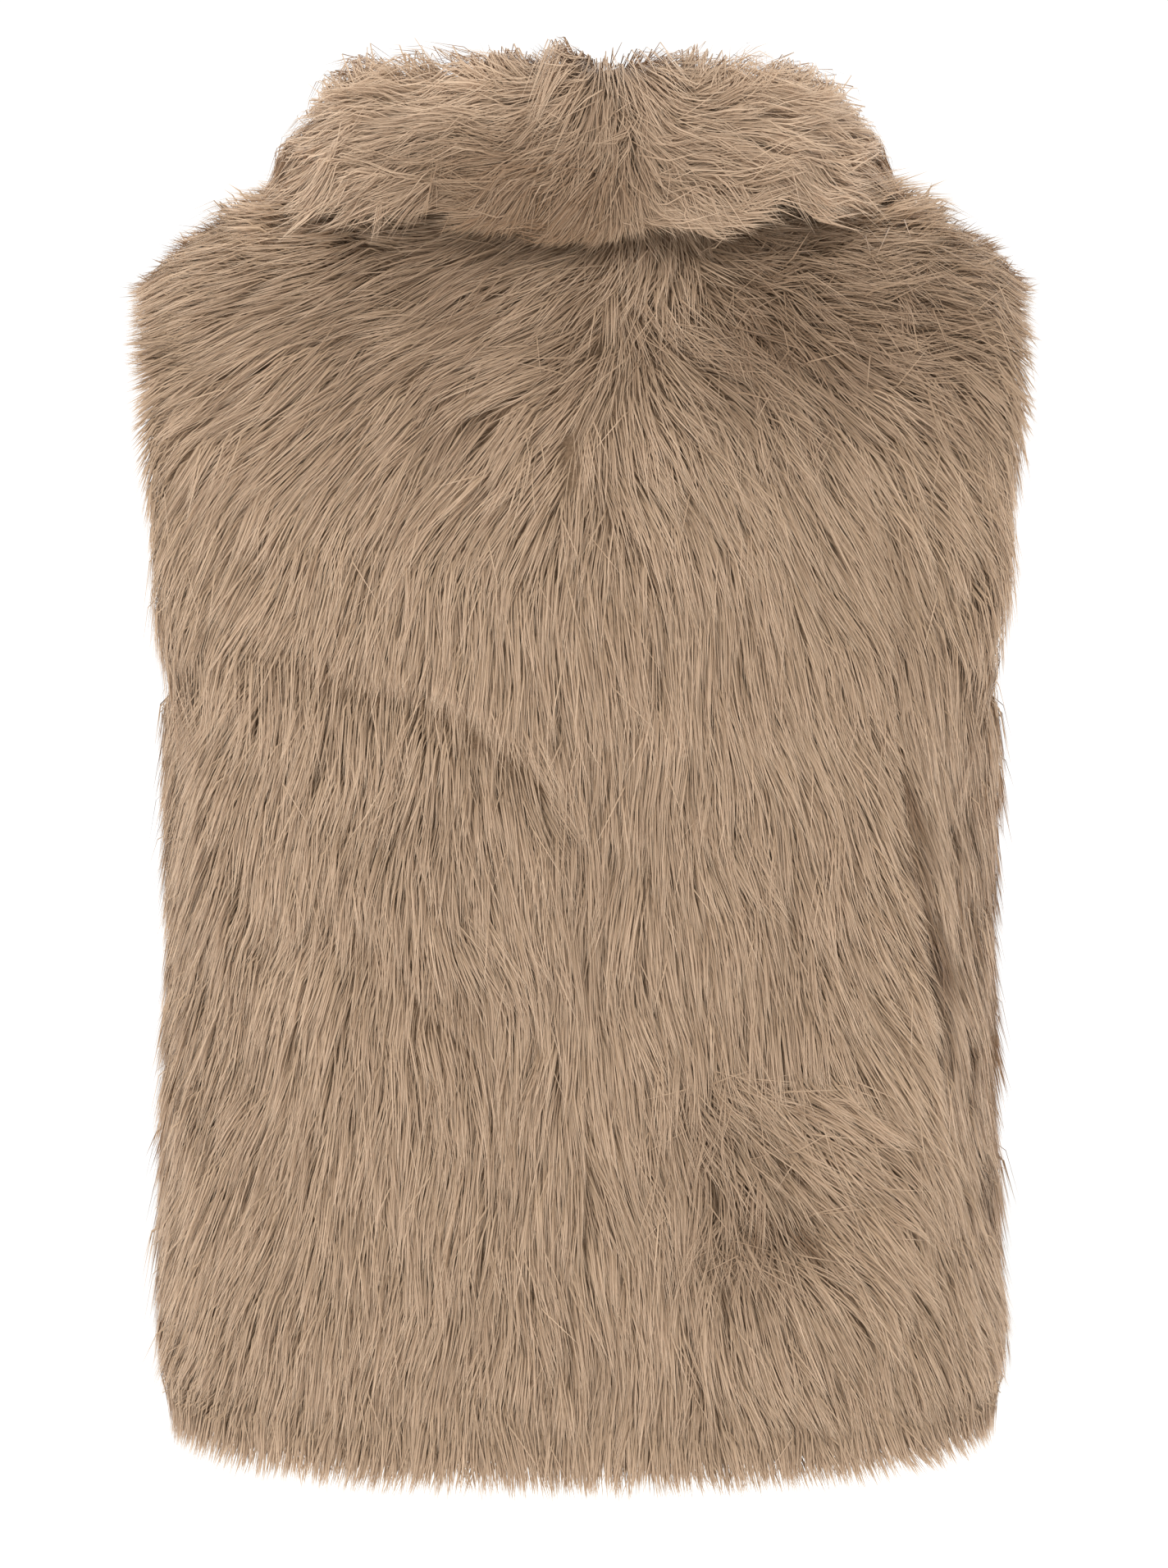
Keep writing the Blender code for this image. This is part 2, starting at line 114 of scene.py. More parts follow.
# How the fur is combed. lean is in degrees from straight down, positive towards the wearer's right on the
# back and towards the wearer's left on the front. lift is how far the hair stands off the cloth beyond
# its lie, muss the scatter of its lean in degrees, tone a lighter or darker spot, reach the stroke's radius.
STROKE_REACH = 0.024
SMALL_STROKE_WEIGHT = 1.5
Stroke = namedtuple("Stroke", "across up lean lift muss tone reach", defaults=(STROKE_REACH,))
BACK_STROKES = tuple(Stroke(*row) for row in (
    # Shoulders and yoke: swept out to both shoulder points, rubbed up on the wearer's right
    (0.197, -0.040, -76, 0.1, 6, 0.00),
    (0.150, -0.032, -74, 0.1, 6, 0.00),
    # Under the collar's edge the hair stands up and is drawn paler: painted light against the collar's shadow.
    (0.139, -0.012, -80, 1.6, 12, 0.34, 0.011),
    (0.110, -0.002, -84, 2.2, 12, 0.32, 0.011),
    (0.080, -0.008, -84, 2.0, 12, 0.06, 0.011),
    (0.095, -0.030, -66, 0.1, 9, -0.30),
    (0.040, -0.030, -62, 0.1, 8, -0.42),
    (0.155, -0.075, -55, 0.1, 9, -0.12),
    (0.090, -0.080, -50, 0.1, 9, -0.24),
    (0.035, -0.075, -52, 0.1, 8, -0.32),
    (0.000, -0.055, -55, 0.2, 12, -0.26),
    (-0.087, -0.062, 60, 0.5, 40, -0.70, 0.007),
    (-0.158, -0.062, 50, 0.5, 40, -0.62, 0.007),
    (-0.034, -0.034, -8, 0.8, 16, 0.24, 0.013),
    (-0.052, -0.052, 30, 0.6, 24, -0.34),
    (-0.072, -0.070, 52, 0.6, 26, -0.44),
    (-0.108, -0.042, 76, 0.6, 28, -0.56),
    (-0.145, -0.034, 70, 0.5, 24, -0.46),
    # Under the collar's edge: drawn paler, painted light against the collar's shadow.
    (-0.139, -0.012, 76, 1.6, 16, 0.26, 0.011),
    (-0.110, -0.002, 80, 2.0, 16, -0.06, 0.011),
    (-0.187, -0.038, 72, 0.3, 12, -0.16),
    (-0.145, -0.072, 50, 0.6, 26, -0.42),
    (-0.193, -0.080, 40, 0.3, 12, -0.14),
    (-0.092, -0.090, 36, 0.4, 20, -0.32),
    # Shoulder blades: a parting near the centre
    (0.182, -0.120, -35, 0.1, 6, 0.00),
    (0.118, -0.120, -33, 0.1, 6, 0.05),
    (0.056, -0.115, -30, 0.1, 6, 0.00),
    (0.012, -0.120, -26, 0.3, 8, 0.02),
    (-0.026, -0.115, 22, 0.3, 8, 0.02),
    (-0.060, -0.135, 15, 0.1, 6, 0.00),
    (-0.095, -0.122, 22, 0.1, 8, 0.00),
    (-0.132, -0.128, 30, 0.1, 8, 0.00),
    (-0.172, -0.135, 28, 0.1, 8, 0.00),
    (-0.205, -0.142, 10, 0.1, 6, 0.00),
    # Middle of the back: down, leaning to the sides, meeting at the wearer's right seam
    (0.195, -0.180, -20, 0.1, 6, -0.04),
    (0.152, -0.180, -17, 0.0, 6, 0.04),
    (0.098, -0.180, -10, 0.0, 6, 0.09),
    (0.020, -0.188, 0, 0.0, 5, 0.00),
    (-0.072, -0.180, 8, 0.0, 5, 0.00),
    (-0.118, -0.188, 18, 0.0, 6, 0.00),
    (-0.156, -0.188, 26, 0.0, 6, 0.00),
    (-0.190, -0.188, 5, 0.0, 6, 0.00),
    (0.188, -0.250, -24, 0.1, 6, -0.04),
    (0.136, -0.240, -12, 0.2, 6, 0.04),
    (0.072, -0.233, -3, 0.4, 7, 0.03),
    (0.026, -0.256, 8, 0.3, 7, -0.05),
    (-0.034, -0.267, 3, 0.0, 5, 0.00),
    (-0.095, -0.267, 10, 0.0, 5, 0.00),
    (-0.137, -0.271, 24, 0.0, 6, 0.00),
    (-0.168, -0.267, 22, 0.0, 6, 0.02),
    (-0.194, -0.267, -2, 0.0, 6, -0.03),
    (0.188, -0.362, -24, 0.1, 6, -0.03),
    (0.140, -0.354, -12, 0.0, 6, 0.00),
    (0.080, -0.343, 2, 0.0, 6, 0.00),
    (0.026, -0.354, 10, 0.1, 6, 0.00),
    (-0.020, -0.362, 6, 0.0, 5, 0.00),
    (-0.072, -0.354, 6, 0.0, 5, 0.00),
    (-0.118, -0.362, 20, 0.0, 6, 0.00),
    (-0.156, -0.369, 28, 0.0, 6, 0.02),
    (-0.194, -0.369, -3, 0.0, 6, -0.03),
    # Lower back: rubbed up in one place on the wearer's right
    (0.188, -0.456, -22, 0.1, 6, 0.00),
    (0.140, -0.456, -12, 0.0, 6, 0.00),
    (0.080, -0.449, -4, 0.0, 6, 0.00),
    (0.026, -0.449, 2, 0.0, 6, 0.00),
    (-0.020, -0.456, 4, 0.0, 6, 0.00),
    (-0.060, -0.427, 36, 0.6, 34, -0.26, 0.009),
    (-0.076, -0.434, 50, 0.5, 24, -0.06, 0.013),
    (-0.093, -0.442, 50, 0.5, 20, -0.02, 0.013),
    (-0.111, -0.451, 48, 0.4, 16, 0.00, 0.013),
    (-0.129, -0.461, 42, 0.3, 12, 0.00, 0.014),
    (-0.050, -0.445, 6, 0.2, 10, -0.12, 0.016),
    (-0.072, -0.458, 10, 0.2, 14, -0.26, 0.010),
    (-0.087, -0.465, 22, 0.2, 12, -0.20, 0.010),
    (-0.068, -0.475, 2, 0.7, 32, -0.34, 0.007),
    (-0.084, -0.481, 30, 0.6, 28, -0.34, 0.006),
    (-0.115, -0.478, 34, 0.2, 10, 0.00, 0.014),
    (-0.140, -0.468, 38, 0.2, 8, 0.00),
    (-0.168, -0.468, 24, 0.1, 8, 0.00),
    (-0.194, -0.468, 6, 0.1, 8, -0.03),
    # Both sides of the groove where the back's fur meets the fur that hangs at the wearer's right side
    (-0.140, -0.250, 30, 0.1, 6, 0.04, 0.010),
    (-0.144, -0.310, 32, 0.1, 6, 0.04, 0.010),
    (-0.150, -0.370, 32, 0.1, 6, 0.04, 0.010),
    (-0.172, -0.250, -1, 0.1, 6, 0.08, 0.011),
    (-0.176, -0.320, -2, 0.1, 6, 0.10, 0.011),
    (-0.184, -0.390, -2, 0.1, 6, 0.06, 0.011),
    # Hem
    (0.188, -0.545, -20, 0.1, 6, 0.00),
    (0.132, -0.553, -9, 0.0, 6, 0.00),
    (0.072, -0.560, -5, 0.0, 6, 0.00),
    (0.010, -0.560, 0, 0.0, 6, 0.00),
    (-0.042, -0.553, 4, 0.0, 6, 0.00),
    (-0.083, -0.545, 12, 0.1, 6, 0.00),
    (-0.125, -0.545, 25, 0.1, 6, 0.00),
    (-0.170, -0.545, 28, 0.1, 6, 0.00),
))
# Fronts, given for the wearer's left; the right one mirrors them
FRONT_EDGE_UP = (-0.090, -0.130, -0.180, -0.230, -0.280, -0.330, -0.380, -0.430, -0.480, -0.530, -0.575)
FRONT_EDGE_LEAN = (-18, -18, -16, -16, -16, -16, -16, -16, -16, -16, -14)
FRONT_STROKES = tuple(Stroke(*row) for row in (
    (0.190, -0.045, 68, 0.1, 7, 0.00),
    (0.140, -0.030, 55, 0.1, 8, 0.00),
    (0.090, -0.050, 32, 0.2, 9, -0.03),
    (0.030, -0.080, 12, 0.2, 8, -0.03),
    (0.180, -0.130, 32, 0.1, 7, 0.00),
    (0.100, -0.150, 14, 0.0, 7, 0.00),
    (0.020, -0.170, 4, 0.1, 6, 0.00),
    (0.185, -0.280, 18, 0.1, 7, 0.00),
    (0.110, -0.290, 8, 0.0, 7, 0.00),
    (0.020, -0.320, -4, 0.1, 6, 0.00),
    (0.185, -0.430, 16, 0.1, 7, 0.00),
    (0.100, -0.430, -3, 0.1, 7, 0.00),
    (0.020, -0.450, 5, 0.1, 6, 0.00),
    (0.180, -0.550, 14, 0.1, 7, 0.00),
    (0.090, -0.550, 5, 0.0, 7, 0.00),
    (0.020, -0.560, 2, 0.1, 6, 0.00),
    # Front edge: combed across the opening
    *((0.002, up, lean, 0.2, 7, 0.00, 0.012) for up, lean in zip(FRONT_EDGE_UP, FRONT_EDGE_LEAN)),
))
# On the collar the lean is from straight down the fall towards its front end, by angle from the centre back;
# more than 90 runs up over the roll, less than 0 runs over the seam onto the other half.
CollarStroke = namedtuple("CollarStroke", "angle lean_at_roll lean_at_edge lift muss tone tone_at_edge")
COLLAR_FRONT = (
    CollarStroke(130, 92, 42, 0.3, 8, 0.00, 0.00),
    CollarStroke(170, 50, 25, 0.3, 8, 0.00, 0.00),
    CollarStroke(180, 15, 5, 0.3, 8, 0.00, 0.00),
)
# Near the centre back the edge's tone runs dark, partly painted shade of the gap under the collar's free edge.
COLLAR_STROKES = {
    "left": (
        CollarStroke(0, 56, 48, 0.7, 12, -0.10, -0.72),
        CollarStroke(10, 80, 66, 0.5, 12, -0.10, -0.80),
        CollarStroke(24, 94, 72, 0.6, 11, -0.02, -0.62),
        CollarStroke(42, 98, 60, 0.8, 10, 0.02, -0.12),
        CollarStroke(65, 96, 52, 0.8, 10, 0.05, 0.08),
        CollarStroke(90, 90, 48, 0.6, 9, 0.04, 0.08),
        *COLLAR_FRONT,
    ),
    "right": (
        CollarStroke(0, -52, -40, 0.8, 12, -0.12, -0.72),
        CollarStroke(6, -24, -14, 1.1, 12, -0.16, -0.62),
        CollarStroke(10, 14, 14, 1.2, 14, -0.18, -0.48),
        CollarStroke(16, 56, 42, 1.0, 12, -0.12, -0.24),
        CollarStroke(26, 92, 68, 0.6, 11, 0.00, -0.02),
        CollarStroke(42, 100, 62, 0.8, 10, 0.03, 0.02),
        CollarStroke(65, 98, 58, 0.8, 10, 0.02, 0.02),
        CollarStroke(90, 92, 52, 0.6, 10, 0.02, 0.04),
        *COLLAR_FRONT,
    ),
}

# Lines in the back's fur. In a groove the fur is lower, and a darker tone paints shade into the hollow; where the
# collar's ends push it up it is higher, and a paler tone paints light against the collar's shadow. At a parting the
# fur above ends, and the roots of the fur below show; its depth is the share of the hairs that end there. An upright
# parting runs down the back, with the ended fur on the wearer's left of it.
Groove = namedtuple("Groove", "line width tone lift")
GROOVES = (
    Groove(((-0.139, -0.160), (-0.142, -0.225), (-0.145, -0.271)), width=0.006, tone=-0.28, lift=-0.2),
    Groove(((-0.145, -0.271), (-0.152, -0.317), (-0.158, -0.350)), width=0.0075, tone=-0.78, lift=-0.3),
    Groove(((-0.158, -0.350), (-0.164, -0.400)), width=0.006, tone=-0.50, lift=-0.2),
    # Along the collar's lower edges: paler, painted light against the collar's shadow.
    Groove(((0.052, -0.006), (0.085, 0.000), (0.115, 0.000), (0.150, -0.012)), width=0.008, tone=0.22, lift=1.2),
    Groove(((-0.118, 0.000), (-0.150, -0.012)), width=0.008, tone=0.26, lift=1.2),
    Groove(((0.012, -0.270), (0.000, -0.330), (-0.008, -0.400)), width=0.007, tone=-0.12, lift=-0.3),
    # Small dark spots in the rubbed-up fur: painted shade in its hollows.
    Groove(((-0.180, -0.455), (-0.181, -0.466)), width=0.004, tone=-0.65, lift=-0.8),
    Groove(((-0.073, -0.462), (-0.079, -0.470)), width=0.004, tone=-0.55, lift=-0.8),
    Groove(((-0.094, -0.474), (-0.101, -0.484)), width=0.004, tone=-0.70, lift=-0.9),
)
Parting = namedtuple("Parting", "line depth upright")
PARTINGS = (
    Parting(
        ((0.163, -0.186), (0.118, -0.214), (0.080, -0.224), (0.053, -0.234), (0.023, -0.258), (0.000, -0.300)),
        depth=0.85,
        upright=False,
    ),
    Parting(
        ((0.104, -0.332), (0.088, -0.348), (0.070, -0.368), (0.050, -0.388), (0.032, -0.412)),
        depth=0.65,
        upright=False,
    ),
    Parting(
        ((-0.134, -0.130), (-0.137, -0.205), (-0.140, -0.271), (-0.147, -0.317), (-0.156, -0.385), (-0.166, -0.470)),
        depth=0.97,
        upright=True,
    ),
)

# Slow swings of the combing: size in radians on the body and degrees on the collar, then radians a metre along
# each axis
Swing = namedtuple("Swing", "size along_x along_z along_y", defaults=(0.0,))
BODY_SWINGS = (Swing(0.09, 61, 23), Swing(0.07, -37, 83))
COLLAR_SWINGS = (Swing(13, 150, 70), Swing(11, -85, 190), Swing(8, 290, 230, 180))
# Along a collar's section, from its neck seam at 0 to its free edge at 1
FALL_FROM, FALL_OVER = 0.47, 0.36
EDGE_FROM, EDGE_OVER = 0.60, 0.28
NECK_TO, NECK_OVER = 0.40, 0.20
NECK_LEAN = 125
NECK_SIDE_ANGLE = 28
CREST_AT, CREST_WIDTH = 0.43, 0.10
# The crest's hairs are drawn paler: painted light, so that hairs standing up against the bright room do not fall
# dark.
CREST_LIFT, CREST_PAINTED_LIGHT = 0.3, 0.2
FALL_CALM = 0.6  # share of the lift that is gone at the edge

# Fur: hairs of each object, drawn together into locks, and locks turned alike in tufts
HAIR_WIDTH = 0.00068
TUFT_HAIRS = 110
HAIRS = {"back": 62000, "front": 52000, "collar": 26000}
# A strand's segments are shares of its length, with the share of its height at the end of each, the share of its
# width at the start of each, and how far each of its points is drawn to the middle of its lock. root_along is where
# on the map of colours along a hair its root lies, and droop how far it hangs for each metre past the last row.
Strand = namedtuple("Strand", "segments rise widths drawn lock_hairs lock_pull root_along length droop")
BODY_STRAND = Strand(
    segments=(0.38, 0.62),
    rise=(0.76, 1.0),
    widths=(0.9, 1.0),
    drawn=(0.0, 0.30, 0.85),
    lock_hairs=9,
    lock_pull=(0.10, 0.60),
    root_along=0.0,
    length=0.042,
    droop=0.0,
)
COLLAR_STRAND = Strand(
    segments=(0.27, 0.33, 0.40),
    rise=(0.55, 0.92, 1.0),
    widths=(0.9, 1.0, 0.8),
    drawn=(0.0, 0.25, 0.60, 0.90),
    lock_hairs=16,
    lock_pull=(0.25, 0.75),
    root_along=0.22,
    length=0.047,
    droop=0.25,
)
LIFT_RAISES, LIFT_SHORTENS = 0.55, 0.35
# Spreads of what is drawn by chance: for tufts, for the locks in them and for the hairs in a lock
TUFT_TURN, TUFT_HEIGHT, TUFT_TONE = 0.75, 0.10, 0.05
LOCK_TURN, LOCK_CURL, LOCK_LENGTH, LOCK_HEIGHT, LOCK_TONE = 0.5, 0.6, 0.10, 0.08, 0.04
HAIR_TURN, HAIR_LENGTH, HAIR_TONE, HAIR_ROLL = 0.25, 0.12, 0.12, 0.4
MIDDLE_HEIGHT = 0.86  # share of the pile that a lock stands
SHORTEST_CUT = 0.12
UNDER_SHARE, UNDER_LENGTH, UNDER_HEIGHT, UNDER_TONE = 0.25, 0.72, 0.6, -0.16
STRAY_SHARE, STRAY_TURN, STRAY_HEIGHT, STRAY_PULL = 0.03, 2.2, 1.25, 0.1
MIDDLE_TONE = 0.52
LOWEST_TONE_PLACE = 0.30  # where tone 0 lies on the map of tones
TONE_STRIP = 0.006  # half the width of a hair on that map
THIN_BODY_FUR, THIN_COLLAR_FUR = 0.30, 0.35  # where the fur is lower than this share of the pile, no hair is set
# More roots at a collar half's ends, as (more, cells over which it fades)
MORE_AT_CENTRE_BACK, MORE_AT_FRONT = (3.2, 5.0), (1.2, 6.0)

# How far hair may reach past the edges of a piece's cloth: its first and last columns, its first and last rows.
# Of the sides, the upper half is an armhole and the lower half a seam.
Reach = namedtuple(
    "Reach", "first_column last_column first_row last_row side_seam last_row_at_first", defaults=(None, None)
)
BACK_REACH = Reach(first_column=0.013, last_column=0.013, side_seam=0.020, first_row=0.017, last_row=0.014)
LEFT_FRONT_REACH = BACK_REACH._replace(first_column=0.008)
RIGHT_FRONT_REACH = BACK_REACH._replace(last_column=0.008)
COLLAR_REACH = Reach(first_column=0.034, last_column=0.005, first_row=0.004, last_row=0.033, last_row_at_first=0.010)
BLEND_FROM_FIRST = 0.30  # share of the columns over which the last row's reach grows

Skin = namedtuple("Skin", "points normals height_share")


def smooth_step(share):
    share = np.clip(share, 0.0, 1.0)
    return share * share * (3 - 2 * share)


def unit(vectors):
    return vectors / np.maximum(np.linalg.norm(vectors, axis=-1, keepdims=True), 1e-12)


def hermite(t, start, end, leave, arrive):
    return (
        (2 * t**3 - 3 * t**2 + 1) * start
        + (3 * t**2 - 2 * t**3) * end
        + (t**3 - 2 * t**2 + t) * leave
        + (t**3 - t**2) * arrive
    )


def through_rows(rows, key, column, at):
    keys = np.array([getattr(row, key) for row in rows])
    values = np.array([getattr(row, column) for row in rows])
    slopes = np.gradient(values, keys)
    i = int(np.clip(np.searchsorted(keys, at) - 1, 0, len(keys) - 2))
    span = keys[i + 1] - keys[i]
    return hermite((at - keys[i]) / span, values[i], values[i + 1], slopes[i] * span, slopes[i + 1] * span)


def way_out(face):
    return 1.0 if face == "back" else -1.0


# The panels' surface

def ring_at(face, height, share):
    half_width = through_rows(SECTIONS, "height", "half_width", height)
    depth = through_rows(SECTIONS, "height", f"{face}_depth", height)
    turn = np.linspace(0, math.pi / 2, 241)
    across = half_width * np.sin(turn) ** (2 / SQUARENESS)
    out = depth * np.cos(turn) ** (2 / SQUARENESS)
    length = np.concatenate([[0], np.cumsum(np.hypot(np.diff(across), np.diff(out)))])
    at = share * length[-1]
    return np.array((np.interp(at, length, across), way_out(face) * np.interp(at, length, out), height))


def neck_point(angle):
    upper = UPPER["back" if angle <= math.pi / 2 else "front"]
    dip = upper.neck_drop * abs(math.cos(angle)) ** 1.6
    place = (NECK_POINT[0] * math.sin(angle), upper.neck_depth * math.cos(angle), NECK_POINT[1] - dip)
    outward = (math.sin(angle) / NECK_POINT[0], math.cos(angle) / upper.neck_depth, 0.0)
    return np.array(place), unit(np.array(outward))


def top_point(face, share):
    if share <= NECK_SHARE:
        angle = share / NECK_SHARE * math.pi / 2
        return neck_point(angle if face == "back" else math.pi - angle)[0]
    along = (share - NECK_SHARE) / (1 - NECK_SHARE)
    across = NECK_POINT[0] + along * (SHOULDER_POINT[0] - NECK_POINT[0])
    up = NECK_POINT[1] + along * (SHOULDER_POINT[1] - NECK_POINT[1])
    return np.array((across, 0.0, up))


def eased_top_point(face, share):
    places = []
    for step in np.linspace(-TOP_EASE, TOP_EASE, 13):
        place = top_point(face, abs(share + step))
        places.append(place * (math.copysign(1, share + step), 1, 1))
    return np.mean(places, axis=0)


def panel_column(face, share, levels):
    """One column of the cloth's inside, from the hem (level 0) by the underarm (1) to the top edge (2)."""
    hem, underarm = SECTIONS[0].height, SECTIONS[-1].height
    upper, out = UPPER[face], way_out(face)
    lean = float(smooth_step((share - ARMHOLE_FROM) / (1 - ARMHOLE_FROM)))
    leave = (1 - lean) * np.array((0, 0, upper.rise)) + lean * np.array((0, out * upper.armhole, ARMHOLE_RISE))
    at_neck = np.array((0, -out * upper.neck_lean, upper.neck_rise))
    at_shoulder = np.array((0, -out * upper.over_shoulder, SHOULDER_RISE))
    at_armhole = np.array((0, -out * upper.armhole, ARMHOLE_RISE))
    over = float(smooth_step(share / NECK_SHARE - 0.35))
    arrive = (1 - over) * at_neck + over * ((1 - lean) * at_shoulder + lean * at_armhole)
    top, eased = top_point(face, share), eased_top_point(face, share)
    from_ring = ring_at(face, underarm, share)
    column = []
    for level in levels:
        if level <= 1:
            height = hem + level * (underarm - hem) + (1 - level) ** 2 * HEM_RISE * share**3
            column.append(ring_at(face, height, share))
        else:
            place = hermite(level - 1, from_ring, eased, leave, arrive)
            column.append(place + (top - eased) * (level - 1) ** 3)
    return np.array(column)


def fold_depth(face, points):
    depth = np.zeros(points.shape[:2])
    for fold in FOLDS:
        if fold.face != face:
            continue
        start = np.array((fold.from_across, fold.from_up))
        run = np.array((fold.to_across, fold.to_up)) - start
        here = points[..., [0, 2]] - start
        along = np.clip(here @ run / (run @ run), 0, 1)
        away = np.linalg.norm(here - along[..., None] * run, axis=-1)
        depth += fold.depth * np.sin(math.pi * (0.12 + 0.76 * along)) * np.exp(-((away / fold.width) ** 2))
    return depth


def lip(distance):
    """Share of the fur's height at a distance from a free edge."""
    to_go = 1 - np.clip(distance / LIP_REACH, 0, 1)
    return LIP_SHARE + (1 - LIP_SHARE) * np.sqrt(1 - to_go**2)


def panel_skin(face, shares, rows):
    """The cloth's inside as a grid, rows from the hem up, with the fur's height as a share of the pile."""
    levels = np.linspace(0, 2, rows)
    points = np.stack([panel_column(face, abs(s), levels) for s in shares], axis=1)
    points[..., 0] *= np.where(shares < 0, -1.0, 1.0)
    normals = unit(np.cross(np.gradient(points, axis=1), np.gradient(points, axis=0)))
    normals *= np.sign((normals * points * (1, 1, 0)).sum(axis=2, keepdims=True))
    side = np.abs(shares) == 1
    normals[np.ix_(levels <= 1, side, [1])] = 0.0
    normals[-1, np.abs(shares) > NECK_SHARE, 1] = 0.0
    normals[:, shares == 0, 0] = 0.0
    for column in np.flatnonzero(np.abs(shares) <= NECK_SHARE):
        angle = abs(shares[column]) / NECK_SHARE * math.pi / 2
        outward = neck_point(angle if face == "back" else math.pi - angle)[1]
        normals[-1, column] = outward * (math.copysign(1, shares[column]), 1, 1)
    normals = unit(normals)
    across, depth = NECK_POINT[0], UPPER[face].neck_depth
    beyond = np.maximum(np.hypot(points[..., 0] / across, points[..., 1] / depth) - 1, 0) * (across + depth) / 2
    below = np.maximum(NECK_POINT[1] - points[..., 2], 0) / 2
    press = smooth_step(np.hypot(beyond, below) / NECK_PRESS)
    points = points - normals * (fold_depth(face, points) * press)[..., None]
    free = smooth_step((levels - 1) / SEAM_TO_ARMHOLE)[:, None]
    at_armhole = 1 - free * (1 - lip((1 - np.abs(shares)) * HALF_PANEL))[None]
    at_hem = lip(np.maximum(levels, 0) * (SECTIONS[-1].height - SECTIONS[0].height))[:, None]
    at_front = lip(np.abs(shares) * HALF_PANEL)[None] if face == "front" else 1.0
    wall = (NECK_WALL + (PILE - NECK_WALL) * press**0.6) / PILE
    height_share = wall * np.minimum(np.minimum(at_armhole, at_hem), at_front)
    if face == "front":
        points[:, shares == 0, 0] = math.copysign(FRONT_GAP / 2, shares.sum())
    points[:, side, 1] += way_out(face) * SEAM_GAP / 2
    points[-1, (np.abs(shares) >= NECK_SHARE) & ~side, 1] += way_out(face) * SEAM_GAP / 2
    return Skin(points, normals, height_share)


def collar_skin(side, columns, steps):
    """The collar's cloth on the side that the fold hides, from centre back to front, from neck seam to free edge."""
    stand_steps, roll_steps, fall_steps = steps
    points, normals, heights = [], [], []
    for angle in np.linspace(0, math.pi, columns):
        seam, outward = neck_point(angle)
        row = {
            column: through_rows(COLLAR_SECTIONS, "angle", column, math.degrees(angle))
            for column in ("stand", "fall", "flare")
        }
        start = np.array((NECK_WALL, SEAM_GAP))
        roll = np.array((NECK_WALL + STAND_LEAN + ROLL_RADIUS, row["stand"]))
        path = [start + (roll - (ROLL_RADIUS, 0) - start) * t for t in np.linspace(0, 1, stand_steps + 1)[:-1]]
        for turn in np.linspace(math.pi, 0, roll_steps + 1):
            path.append(roll + ROLL_RADIUS * np.array((math.cos(turn), math.sin(turn))))
        top = path[-1]
        edge = np.array((row["flare"], row["stand"] - row["fall"]))
        for t in np.linspace(0, 1, fall_steps + 1)[1:]:
            path.append(hermite(t, top, edge, np.array((0.25, -0.8)) * row["fall"], (edge - top) * 1.1))
        path = np.array(path)
        along = unit(np.gradient(path, axis=0))
        points.append([seam + outward * p[0] + np.array((0, 0, p[1])) for p in path])
        normals.append([outward * -a[1] + np.array((0, 0, a[0])) for a in along])
        from_seam = np.concatenate([[0], np.cumsum(np.linalg.norm(np.diff(path, axis=0), axis=1))])
        rising = NECK_WALL / COLLAR_PILE + (1 - NECK_WALL / COLLAR_PILE) * smooth_step(from_seam / row["stand"])
        heights.append(np.minimum(rising, lip((from_seam[-1] - from_seam) * 1.6)))
    points, normals = np.array(points).swapaxes(0, 1), np.array(normals).swapaxes(0, 1)
    points[:, 0, 0] = 0.0
    points[:, -1, 0] = FRONT_GAP / 2
    mirror = np.array((side, 1, 1))
    return Skin(points * mirror, unit(normals) * mirror, np.array(heights).T * COLLAR_PILE / PILE)


def skin_at(skin, u, v):
    """Place, normal, tangents and height share at columns u and rows v, which run straight on past an edge."""
    rows, columns = skin.points.shape[:2]
    inside_u, inside_v = np.clip(u, 0, columns - 1.001), np.clip(v, 0, rows - 1.001)
    i, j = inside_u.astype(int), inside_v.astype(int)
    s, t = (inside_u - i)[:, None], (inside_v - j)[:, None]

    def blend(grid):
        low = grid[j, i] * (1 - s) + grid[j, i + 1] * s
        high = grid[j + 1, i] * (1 - s) + grid[j + 1, i + 1] * s
        return low * (1 - t) + high * t

    p = skin.points
    along_u = (p[j, i + 1] - p[j, i]) * (1 - t) + (p[j + 1, i + 1] - p[j + 1, i]) * t
    along_v = (p[j + 1, i] - p[j, i]) * (1 - s) + (p[j + 1, i + 1] - p[j, i + 1]) * s
    place = blend(p) + along_u * (u - inside_u)[:, None] + along_v * (v - inside_v)[:, None]
    return place, unit(blend(skin.normals)), along_u, along_v, blend(skin.height_share[..., None])[:, 0]


def scatter(skin, count, columns_from, columns_to, keep):
    """Roots spread evenly over a part of a skin, at a jittered place in each cell."""
    p = skin.points
    edge_u, edge_v = p[:-1, 1:] - p[:-1, :-1], p[1:, :-1] - p[:-1, :-1]
    area = np.linalg.norm(np.cross(edge_u, edge_v), axis=-1) * keep[:-1, :-1]
    area[:, :columns_from] = 0
    area[:, columns_to:] = 0
    share = area.ravel() / area.sum() * count
    number = np.floor(share).astype(int) + (RNG.random(share.size) < share % 1)
    cell = np.repeat(np.arange(share.size), number)
    return cell % area.shape[1] + RNG.random(cell.size), cell // area.shape[1] + RNG.random(cell.size)


def nearest(places, points):
    """For each point, the number of the place that is nearest to it."""
    tree = KDTree(len(places))
    for index, place in enumerate(places):
        tree.insert(place, index)
    tree.balance()
    return np.array([tree.find(point)[1] for point in points])


# Combing

